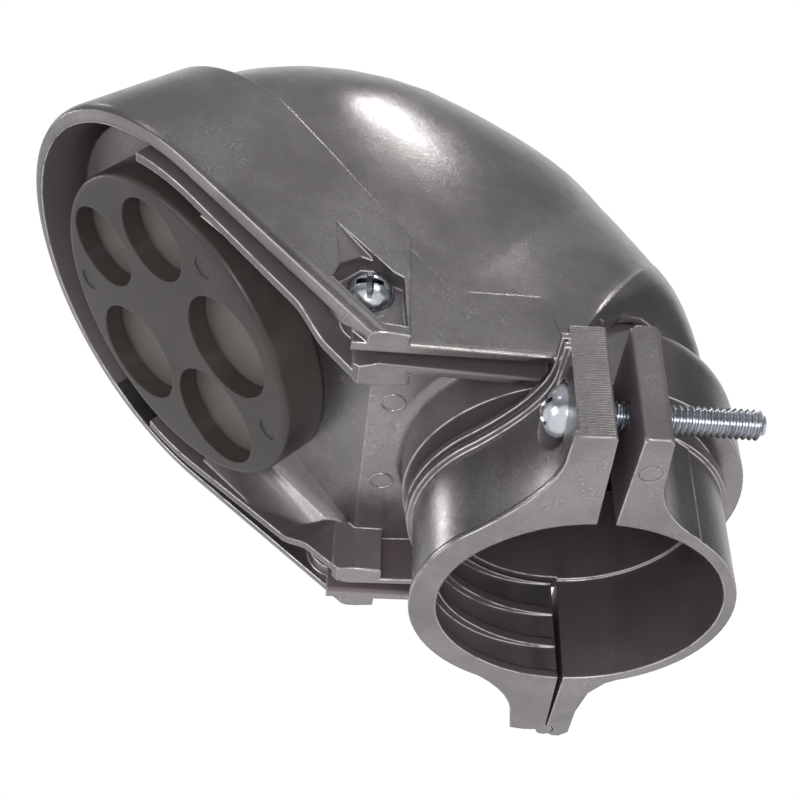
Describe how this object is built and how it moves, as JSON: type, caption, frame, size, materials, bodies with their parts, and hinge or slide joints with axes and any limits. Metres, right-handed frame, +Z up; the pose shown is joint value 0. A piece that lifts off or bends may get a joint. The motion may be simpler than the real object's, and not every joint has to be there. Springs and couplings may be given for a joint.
{
  "type": "service entrance weatherhead",
  "caption": "Cast hood over a tilted cable mouth with a round knockout insert, on a neck with a split clamp collar for the top of a conduit mast.",
  "frame": {"origin": "on the conduit axis, at the foot of the clamp collar", "axes": "+Z up along the conduit axis, -Y towards the hood's nose, +X towards the clamp screw's lugs"},
  "size_m": [0.117, 0.1738, 0.1513],
  "materials": {
    "body_casting": "as cast, burnished on the edges",
    "hood_casting": "polished by tumbling, dark soft reflections",
    "clamp_casting": "as cast, satin",
    "insert_plastic": "satin moulded plastic",
    "zinc": "bright zinc plate"
  },
  "bodies": {
    "head": {"body": "body_casting", "hood": "hood_casting", "insert": "insert_plastic"},
    "clamp": {"clamp_half": "clamp_casting"},
    "clamp_bolt": {"clamp_screw": "zinc"},
    "right_bolt": {"cover_screw_right": "zinc"},
    "left_bolt": {"cover_screw_left": "zinc"}
  },
  "joints": [
    {"name": "clamp_hinge", "type": "hinge", "parent": "head", "child": "clamp", "pos_m": [-0.056, 0.0012, 0], "axis": [0, 0, 1], "range_deg": [-1, 2.2]},
    {"name": "clamp_screw_travel", "type": "slide", "parent": "head", "child": "clamp_bolt", "axis": [0, 1, 0], "range_m": [-0.002, 0.0042]},
    {"name": "right_screw_turn", "type": "hinge", "parent": "head", "child": "right_bolt", "pos_m": [0.052, -0.05063, 0.04412], "axis": [1, 0, 0], "continuous": true},
    {"name": "left_screw_turn", "type": "hinge", "parent": "head", "child": "left_bolt", "pos_m": [-0.052, -0.05063, 0.04412], "axis": [-1, 0, 0], "continuous": true}
  ],
  "couplings": [
    {"joint": "clamp_screw_travel", "follows": "clamp_hinge", "m_per_rad": 0.103}
  ]
}
